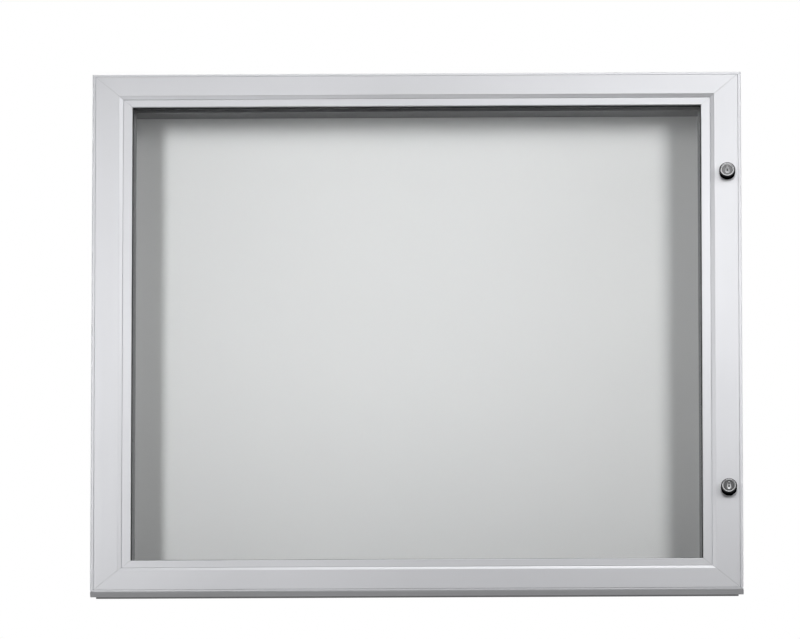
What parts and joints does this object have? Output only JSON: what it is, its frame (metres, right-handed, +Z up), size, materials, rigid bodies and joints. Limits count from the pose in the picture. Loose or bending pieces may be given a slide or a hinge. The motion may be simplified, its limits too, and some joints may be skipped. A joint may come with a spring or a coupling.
{
  "type": "lockable notice board",
  "caption": "Wall-hung lockable notice board with a mitred aluminium door frame, clear glazing, a pale back panel and key-operated cam locks on one side.",
  "frame": {"origin": "middle of the back face, on the wall, at the centre of the four wall fixings", "axes": "+X to the right seen from the front, +Y into the wall, +Z up; the door faces -Y"},
  "size_m": [0.75, 0.0542, 0.635],
  "materials": {
    "door_aluminium": "satin silver anodised, mitred at the corners",
    "back_aluminium": "satin silver anodised",
    "bead_aluminium": "satin silver anodised",
    "panel": "matt pale grey coat",
    "glazing": "clear, very slightly green",
    "rubber": "matt black",
    "zinc": "as cast zinc",
    "hinge_steel": "brushed stainless steel",
    "fastener_steel": "bright zinc plated",
    "lock_chrome": "polished chrome plate"
  },
  "bodies": {
    "back_frame": {"back_bottom_rail": "back_aluminium", "back_cleat_bottom_left": "zinc", "back_cleat_bottom_right": "zinc", "back_cleat_top_left": "zinc", "back_cleat_top_right": "zinc", "back_hinge_stile": "back_aluminium", "back_lock_stile": "back_aluminium", "back_panel": "panel", "back_top_rail": "back_aluminium", "door_seal": "rubber", "hinge_fixed_leaf_lower": "hinge_steel", "hinge_fixed_leaf_middle": "hinge_steel", "hinge_fixed_leaf_upper": "hinge_steel", "hinge_pin_lower": "hinge_steel", "hinge_pin_middle": "hinge_steel", "hinge_pin_upper": "hinge_steel"},
    "door": {"door_bottom_rail": "door_aluminium", "door_cleat_bottom_left": "zinc", "door_cleat_bottom_right": "zinc", "door_cleat_top_left": "zinc", "door_cleat_top_right": "zinc", "door_hinge_stile": "door_aluminium", "door_lock_stile": "door_aluminium", "door_top_rail": "door_aluminium", "glazing": "glazing", "glazing_bead_bottom": "bead_aluminium", "glazing_bead_left": "bead_aluminium", "glazing_bead_right": "bead_aluminium", "glazing_bead_top": "bead_aluminium", "glazing_gasket_front": "rubber", "glazing_gasket_rear": "rubber", "hinge_door_leaf_lower": "hinge_steel", "hinge_door_leaf_middle": "hinge_steel", "hinge_door_leaf_upper": "hinge_steel", "lock_barrel_lower": "lock_chrome", "lock_barrel_upper": "lock_chrome", "lock_nut_lower": "fastener_steel", "lock_nut_upper": "fastener_steel"},
    "upper_lock": {"lock_plug_upper": "lock_chrome", "lock_cam_upper": "fastener_steel", "cam_screw_upper": "fastener_steel"},
    "lower_lock": {"lock_plug_lower": "lock_chrome", "lock_cam_lower": "fastener_steel", "cam_screw_lower": "fastener_steel"}
  },
  "joints": [
    {"name": "door_swing", "type": "hinge", "parent": "back_frame", "child": "door", "pos_m": [-0.3724, -0.0256, 0], "axis": [0, 0, -1], "range_deg": [0, 120]},
    {"name": "upper_lock_turn", "type": "hinge", "parent": "door", "child": "upper_lock", "pos_m": [0.3588, -0.045, 0.1936], "axis": [0, 1, 0], "range_deg": [0, 90]},
    {"name": "lower_lock_turn", "type": "hinge", "parent": "door", "child": "lower_lock", "pos_m": [0.3588, -0.045, -0.1936], "axis": [0, 1, 0], "range_deg": [0, 90]}
  ]
}
